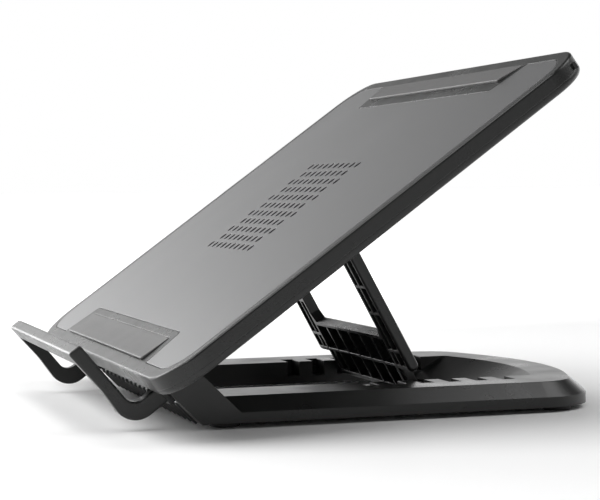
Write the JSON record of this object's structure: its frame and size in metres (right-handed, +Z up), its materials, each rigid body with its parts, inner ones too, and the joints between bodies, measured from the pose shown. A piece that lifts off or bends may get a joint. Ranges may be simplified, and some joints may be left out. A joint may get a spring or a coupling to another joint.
{
  "type": "laptop cooling pad",
  "caption": "Tilting laptop cooling plate with a slotted metal sheet, slim fan and pull-out stop, propped by a folding frame on a notched base.",
  "frame": {"origin": "bottom centre of the bounding box in the stored pose: middle of the width and of the depth, at floor level", "axes": "+X to the user's right along the width, +Y from the user's edge to the rear, +Z up"},
  "size_m": [0.3, 0.2758, 0.1704],
  "materials": {
    "sheet": "satin, fine grain",
    "dark_plastic": "fine spark-eroded texture",
    "pad_rubber": "matt",
    "foot_rubber": "matt",
    "steel": "turned",
    "fan_plastic": "smooth",
    "ferrite": "sintered",
    "bronze": "sintered",
    "bush_plastic": "acetal",
    "board": "coated",
    "lead_jacket": "satin"
  },
  "bodies": {
    "base": {"base_frame": "dark_plastic", "base_feet": "foot_rubber", "hinge_bushes": "bush_plastic"},
    "plate": {"top_sheet": "sheet", "upper_frame": "dark_plastic", "lower_cover": "dark_plastic", "front_pad": "pad_rubber", "rear_pad": "pad_rubber", "cover_screws": "steel", "plate_hinge_pins": "steel", "prop_hinge_pins": "steel", "fan_frame": "fan_plastic", "fan_bearing": "bronze", "fan_stator": "steel", "inlet_board": "board", "power_inlet": "steel", "fan_lead": "lead_jacket", "stop_guide_left": "dark_plastic", "stop_guide_right": "dark_plastic", "guide_screws": "steel"},
    "prop": {"prop_frame": "dark_plastic"},
    "stop": {"laptop_stop": "dark_plastic"},
    "rotor": {"fan_rotor": "fan_plastic", "fan_shaft": "steel", "fan_magnet_ring": "ferrite"}
  },
  "joints": [
    {"name": "plate_tilt", "type": "hinge", "parent": "base", "child": "plate", "pos_m": [0, -0.09566, 0.0303], "axis": [1, 0, 0], "range_deg": [-35.8, 4.2]},
    {"name": "prop_fold", "type": "hinge", "parent": "plate", "child": "prop", "pos_m": [0, -0.00547, 0.09399], "axis": [1, 0, 0], "range_deg": [-11.5, 97.6]},
    {"name": "stop_slide", "type": "slide", "parent": "plate", "child": "stop", "axis": [0, -0.8111, -0.585], "range_m": [-0.007, 0.03]},
    {"name": "fan_spin", "type": "hinge", "parent": "plate", "child": "rotor", "pos_m": [0, -0.00839, 0.09632], "axis": [0, -0.585, 0.8111], "continuous": true}
  ],
  "couplings": [
    {"joint": "prop_fold", "follows": "plate_tilt", "ratio": -2.7237}
  ]
}
